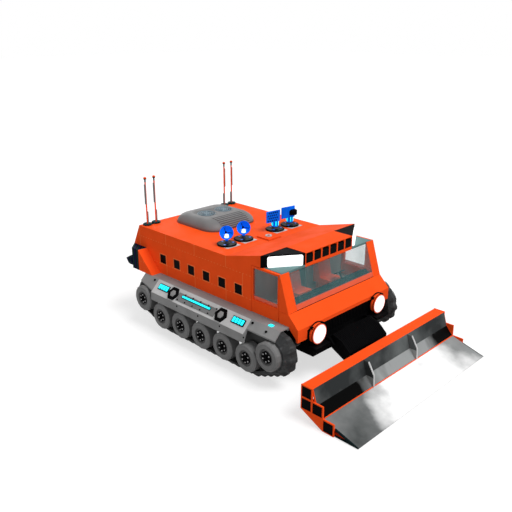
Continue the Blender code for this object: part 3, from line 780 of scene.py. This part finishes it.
def panel_trim():
    """Lit bars in the posts, holes in the inner panel as navy discs of painted shade, a dark head on the
    outer lamp.
    """
    for name, x in PANEL_LAMPS:
        bars = []
        for i in range(6):
            angle, ring = math.pi / 3 * i, 0.3
            middle = (x + ring * math.cos(angle), LAMPS_F + ring * math.sin(angle), 3.65)
            half = (0.04, 0.04, 0.22)
            low = [place - reach for place, reach in zip(middle, half)]
            high = [place + reach for place, reach in zip(middle, half)]
            bars.append(block("bar", low, high, 0.015))
        fitted(joined(f"{name}_bars", bars), FINISHES["cyan"], name, "lamp_lens")
    # navy discs for the holes: their darkness is painted shade inside the holes
    hole_shade_discs = []
    for column in range(5):
        for row in range(4):
            x = 0.98 + 0.22 * column + (0.1 if row % 2 else 0)
            f = -2.89 + (x - 0.85) * 0.172                 # on the panel's slanting front
            hole_shade_discs.append(drum("hole_shade_disc", (x, f, 4.02 + 0.24 * row), "f", 0.07, 0.05, 8, 0.3, 0.3, 0.005))
    fitted(joined("panel_lamp_inner_hole_shade", hole_shade_discs), FINISHES["navy"], "panel_lamp_inner", "blue_shell")
    head = drum("head", (4.1, -2.78, 4.3), "z", 0.46, 0.42, 10, 0.25, -0.2, 0.1)
    fitted(joined("panel_lamp_outer_head", [head]), FINISHES["black"], "panel_lamp_outer", "black_steel")


def hatch_trim():
    """A round knob with a red dot on the hatch, and a thin seam round it."""
    x, f = 0, -1.9
    knob = drum("knob", (x, f, ROOF + 0.14), "z", 0.3, 0.1, 20, 0.4, 0.3, 0.02)
    fitted(joined("hatch_knob", [knob]), FINISHES["pale grey"], "roof_hatch", "grey_steel")
    dot = drum("dot", (x, f, ROOF + 0.17), "z", 0.1, 0.06, 12, 0.3, 0.2, 0.01)
    fitted(joined("hatch_dot", [dot]), FINISHES["red"], "roof_hatch", "lamp_lens")
    seam = flat_frame("seam", (x, f, ROOF + 0.004), (1.66, 1.66), (0, 0, 0), 0.05, 0.012)
    fitted(joined("hatch_seam", [seam]), FINISHES["dark orange"], "chassis", "orange_paint")


def antenna_trim():
    """A dark foot and two grey sleeves on each whip."""
    feet, sleeves = [], []
    f = -12.5
    for x in (-4.4, -5.4):
        feet.append(drum("foot", (x, f, ROOF + 0.1), "z", 0.42, 0.12, 16, 0.3, 0.3, 0.03))
        sleeves.append(block("sleeve", (x - 0.1, f - 0.1, 5.0), (x - 0.02, f + 0.1, 6.9), 0.03))
        sleeves.append(block("sleeve", (x + 0.02, f - 0.1, 3.2), (x + 0.12, f + 0.1, 4.3), 0.03))
    fitted(two_sided(joined("antenna_feet", feet)), FINISHES["teal"], "chassis", "black_steel")
    fitted(two_sided(joined("antenna_sleeves", sleeves)), FINISHES["grey"], "chassis", "grey_steel")


# ---- front of the cab -------------------------------------------------------------------------------

def visor_lamps():
    """A white lamp across each corner of the visor."""
    along_corner = Matrix.Rotation(math.atan2(-2, 3), 3, "Z")
    lens = tilted(flat_block("lens", (2.85, 0.3, 0.9), 0.14), (-4.4, 4.14, 3.44), along_corner)
    fitted(two_sided(joined("visor_lamps", [lens])), FINISHES["white"], "chassis", "lamp_lens")


def lamp_brackets():
    """A black hoop with four clips, and a thinner rim, round each headlamp."""
    radius = 0.9
    hoops = [hoop("bracket", (-HEADLAMP_X, 7.12, HEADLAMP_Z), "f", radius, 0.05),
             hoop("rim", (-HEADLAMP_X, 7.42, HEADLAMP_Z), "f", 0.86, 0.03)]
    for i in range(4):
        angle = math.pi / 2 * (i + 0.5)
        x, z = radius * math.cos(angle) - HEADLAMP_X, HEADLAMP_Z + radius * math.sin(angle)
        hoops.append(drum("clip", (x, 7.2, z), "f", 0.12, 0.24, 8, 0.3, 0.2, 0.02))
    fitted(two_sided(joined("headlamp_brackets", hoops)), FINISHES["black"], "chassis", "black_steel")


RIB_PITCH = 0.2


def grille_ribs():
    """Upright ribs across the radiator grille."""
    rib = block("rib", (-4.8, 6.98, -2.28), (-4.7, 7.03, -1.34), 0.01)
    ribs = copies(rib, [(RIB_PITCH * i, 0, 0) for i in range(1, 48)])
    fitted(joined("grille_ribs", ribs), FINISHES["black"], "chassis", "black_steel")


def hood_ribs():
    """Fine ribs down the hood of the blade's lift frame."""
    ribs = []
    bends = ((7.62, -2.31), (8.5, -2.6), (9.33, -3.34))    # f and z down the hood
    for (f0, z0), (f1, z1) in zip(bends, bends[1:]):
        length = math.hypot(f1 - f0, z1 - z0)
        turn = Matrix.Rotation(math.atan2(z0 - z1, f1 - f0), 3, "X")
        middle = (-2.3, (f0 + f1) / 2, (z0 + z1) / 2)
        rib = tilted(flat_block("rib", (0.07, length, 0.05), 0.01), middle, turn)
        ribs += copies(rib, [(RIB_PITCH * i, 0, 0) for i in range(1, 24)])
    fitted(joined("hood_ribs", ribs), FINISHES["black"], "lift_frame", "black_steel")


def window_frames():
    """A thin bright frame round each side window."""
    frames = []
    for f in WINDOWS:
        frames.append(flat_frame("frame", (-6.0, f + 0.5, 0.5), (1.0, 1.0), TURNS["x"], 0.07, 0.025))
    fitted(two_sided(joined("window_frames", frames)), FINISHES["pale orange"], "chassis", "orange_paint")


# ---- blade ------------------------------------------------------------------------------------------

def blade_trim():
    """An orange line along the foot of the face, and pale edges on the two ribs."""
    crease = primitive("crease", "cube", (0, 12.02, -4.925), (17.7, 0.08, 0.05), size=1)
    fitted(soft_edges(joined("blade_crease", [crease]), 0.01), FINISHES["orange"], "blade", "orange_paint")
    caps = []
    for x in (-3, 3):
        bends = ((1.45, 2.96), (2.0, 2.0), (2.06, 1.03))   # depth and row down the rib's edge
        for (d0, r0), (d1, r1) in zip(bends, bends[1:]):
            rise, run = (r0 - r1) * BLADE_ROW, d1 - d0
            turn = Matrix.Rotation(-math.atan2(run, rise), 3, "X")
            cap = flat_block("cap", (0.16, 0.05, math.hypot(rise, run)), 0.015)
            middle = (x, BLADE_F + (d0 + d1) / 2, BLADE_TOP - (3 - (r0 + r1) / 2) * BLADE_ROW)
            caps.append(tilted(cap, middle, turn))
    fitted(joined("blade_rib_caps", caps), FINISHES["pale grey"], "blade", "grey_steel")


# ---- stage -----------------------------------------------------------------------------------------

SKY_LEVEL = 0.38                                           # light from the sky, 1 is full
FLOOR_SHADE, FLOOR_GLOW = 0.42, 0.66                       # colour of the floor, and its own light
EYE, HEADING, LENS = (-10.812, -9.796, 7.408), (0.6654, 0.6643, -0.34), 44.55
CAMERA_REACH = 400


def sun(name, level, heading, spread=0.5):
    """A lamp whose light gives a surface square to it that level."""
    lamp = bpy.data.lights.new(name, "SUN")
    lamp.energy = level * math.pi
    lamp.angle = spread
    stand = bpy.data.objects.new(name, lamp)
    stand.rotation_euler = Vector(heading).to_track_quat("-Z", "Y").to_euler()
    bpy.context.scene.collection.objects.link(stand)


def seen_directly(tree):
    """1 on camera, glossy and transmission rays, in a node tree."""
    path = tree.nodes.new("ShaderNodeLightPath")
    total = path.outputs["Is Camera Ray"]
    for name in ("Is Glossy Ray", "Is Transmission Ray"):
        either = tree.nodes.new("ShaderNodeMath")
        either.operation = "MAXIMUM"
        tree.links.new(total, either.inputs[0])
        tree.links.new(path.outputs[name], either.inputs[1])
        total = either.outputs[0]
    return total


def sky():
    """Plain light from all round, over a white backdrop."""
    world = bpy.data.worlds.new("sky")
    bpy.context.scene.world = world
    world.use_nodes = True
    tree = world.node_tree
    backdrop = tree.nodes.new("ShaderNodeBackground")
    backdrop.inputs["Color"].default_value = (1, 1, 1, 1)
    light = tree.nodes["Background"]
    light.inputs["Color"].default_value = (1, 1, 1, 1)
    light.inputs["Strength"].default_value = SKY_LEVEL
    either = tree.nodes.new("ShaderNodeMixShader")
    tree.links.new(seen_directly(tree), either.inputs[0])
    tree.links.new(light.outputs[0], either.inputs[1])
    tree.links.new(backdrop.outputs[0], either.inputs[2])
    tree.links.new(either.outputs[0], tree.nodes["World Output"].inputs["Surface"])


def snow_floor():
    """A pale floor that shows white and keeps a soft shadow."""
    bpy.ops.mesh.primitive_plane_add(size=300)
    floor = bpy.context.object
    floor.name = "snow_floor"
    surface = Finish("pale floor", (FLOOR_SHADE,) * 3, 0.95, Specular_IOR_Level=0.0,
                     Emission_Strength=FLOOR_GLOW)
    tree = surface.tree
    lit = Wire(surface, seen_directly(tree))
    surface.set(Emission_Color=surface.mix(lit, (0, 0, 0, 1), (1, 1, 1, 1)))
    floor.data.materials.append(surface.material)


def studio():
    """Camera, lamps, sky and floor."""
    scene = bpy.context.scene
    scene.view_settings.view_transform = "Standard"
    eye = bpy.data.objects.new("camera", bpy.data.cameras.new("camera"))
    eye.data.lens = LENS
    eye.data.clip_end = CAMERA_REACH
    eye.location = EYE
    eye.rotation_euler = Vector(HEADING).to_track_quat("-Z", "Y").to_euler()
    scene.collection.objects.link(eye)
    scene.camera = eye
    sun("key", 0.75, (-0.12, 0.5, -0.86))
    sun("rear fill", 0.12, (-0.4, -0.7, -0.3))
    sun("side fill", 0.1, (0.8, 0.2, -0.2))
    sky()
    snow_floor()


studio()
coat_all()
guard_trim()
wheel_trim()
painted_shade_plates()
smooth_cowl()
cowl_trim()
turntable_trim()
dish_trim()
panel_trim()
hatch_trim()
antenna_trim()
visor_lamps()
lamp_brackets()
grille_ribs()
hood_ribs()
window_frames()
blade_trim()
